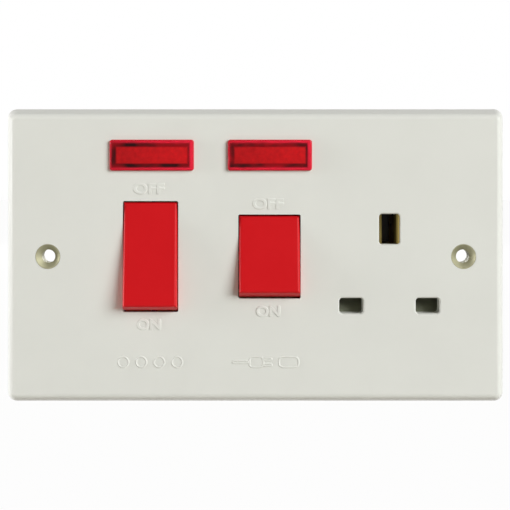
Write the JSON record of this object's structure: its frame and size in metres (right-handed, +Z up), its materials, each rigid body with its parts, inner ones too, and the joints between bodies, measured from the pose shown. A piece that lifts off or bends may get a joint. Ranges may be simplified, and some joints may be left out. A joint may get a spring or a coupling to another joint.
{
  "type": "cooker control unit",
  "caption": "Off-white double wall plate with a large red cooker rocker, a smaller red rocker, red neon lenses above them and a shuttered three-pin socket outlet.",
  "frame": {"origin": "centre of the plate's rim, in the plane of the wall", "axes": "+X to the right and +Z up as seen from the front, +Y into the wall"},
  "size_m": [0.146, 0.031, 0.086],
  "materials": {
    "plate": "smooth moulded off-white",
    "rocker": "smooth moulded red",
    "lens": "clear red",
    "eyelet": "dull",
    "base": "dark phenolic moulding",
    "screw": "zinc plated",
    "strip": "pressed sheet",
    "terminal": "turned and drawn",
    "spring": "drawn wire",
    "plunger": "natural",
    "shutter": "dark grey",
    "holder": "white",
    "lamp": "clear",
    "resistor": "lacquered",
    "lead": "insulated wire"
  },
  "bodies": {
    "unit": {"base_screws": "screw", "cooker_line_fixed_contact": "strip", "cooker_line_pivot_strip": "strip", "cooker_line_terminal": "terminal", "cooker_neon_holder": "holder", "cooker_neon_lamp": "lamp", "cooker_neon_leads": "lead", "cooker_neon_lens": "lens", "cooker_neon_resistor": "resistor", "cooker_neutral_fixed_contact": "strip", "cooker_neutral_pivot_strip": "strip", "cooker_neutral_terminal": "terminal", "earth_pin_contact": "strip", "earth_screws": "terminal", "earth_strap": "strip", "earth_terminals": "terminal", "faceplate": "plate", "fixing_eyelets": "eyelet", "line_link": "strip", "line_pin_contact": "strip", "neutral_link": "strip", "neutral_pin_contact": "strip", "rear_base": "base", "shutter_spring": "spring", "supply_line_terminal": "terminal", "supply_neutral_terminal": "terminal", "switch_load_strip": "strip", "switch_neon_holder": "holder", "switch_neon_lamp": "lamp", "switch_neon_leads": "lead", "switch_neon_lens": "lens", "switch_neon_resistor": "resistor", "switch_pivot_strip": "strip", "terminal_screws": "terminal"},
    "cooker_rocker_body": {"cooker_rocker": "rocker", "cooker_line_spring": "spring", "cooker_neutral_spring": "spring"},
    "switch_rocker_body": {"switch_rocker": "rocker", "switch_spring": "spring"},
    "shutter_body": {"shutter": "shutter"},
    "cooker_line_plunger_body": {"cooker_line_plunger": "plunger"},
    "cooker_line_contact_body": {"cooker_line_moving_contact": "strip"},
    "cooker_neutral_plunger_body": {"cooker_neutral_plunger": "plunger"},
    "cooker_neutral_contact_body": {"cooker_neutral_moving_contact": "strip"},
    "switch_plunger_body": {"switch_plunger": "plunger"},
    "switch_contact_body": {"switch_moving_contact": "strip"}
  },
  "joints": [
    {"name": "cooker_rocker_hinge", "type": "hinge", "parent": "unit", "child": "cooker_rocker_body", "pos_m": [-0.0305, -0.0035, 0], "axis": [1, 0, 0], "range_deg": [0, 18]},
    {"name": "switch_rocker_hinge", "type": "hinge", "parent": "unit", "child": "switch_rocker_body", "pos_m": [0.004, -0.0035, 0], "axis": [1, 0, 0], "range_deg": [0, 20]},
    {"name": "shutter_slide", "type": "slide", "parent": "unit", "child": "shutter_body", "axis": [0, 0, -1], "range_m": [0, 0.0054], "stiffness_N_per_m": 80, "springref_m": -0.01, "deforming": ["shutter_spring"]},
    {"name": "cooker_line_plunger_slide", "type": "slide", "parent": "cooker_rocker_body", "child": "cooker_line_plunger_body", "axis": [0, -0.9877, 0.1564], "range_m": [0, 0.0004], "stiffness_N_per_m": 800, "springref_m": -0.005, "deforming": ["cooker_line_spring"]},
    {"name": "cooker_line_contact_hinge", "type": "hinge", "parent": "unit", "child": "cooker_line_contact_body", "pos_m": [-0.0261, 0.0132, 0], "axis": [1, 0, 0], "range_deg": [-18, 0]},
    {"name": "cooker_neutral_plunger_slide", "type": "slide", "parent": "cooker_rocker_body", "child": "cooker_neutral_plunger_body", "axis": [0, -0.9877, 0.1564], "range_m": [0, 0.0004], "stiffness_N_per_m": 800, "springref_m": -0.005, "deforming": ["cooker_neutral_spring"]},
    {"name": "cooker_neutral_contact_hinge", "type": "hinge", "parent": "unit", "child": "cooker_neutral_contact_body", "pos_m": [-0.0349, 0.0132, 0], "axis": [1, 0, 0], "range_deg": [-18, 0]},
    {"name": "switch_plunger_slide", "type": "slide", "parent": "switch_rocker_body", "child": "switch_plunger_body", "axis": [0, -0.9848, 0.1736], "range_m": [0, 0.0004], "stiffness_N_per_m": 800, "springref_m": -0.005, "deforming": ["switch_spring"]},
    {"name": "switch_contact_hinge", "type": "hinge", "parent": "unit", "child": "switch_contact_body", "pos_m": [0.004, 0.0132, 0], "axis": [1, 0, 0], "range_deg": [-20, 0]}
  ],
  "couplings": [
    {"joint": "cooker_line_contact_hinge", "follows": "cooker_rocker_hinge", "ratio": -1},
    {"joint": "cooker_neutral_contact_hinge", "follows": "cooker_rocker_hinge", "ratio": -1},
    {"joint": "switch_contact_hinge", "follows": "switch_rocker_hinge", "ratio": -1}
  ]
}
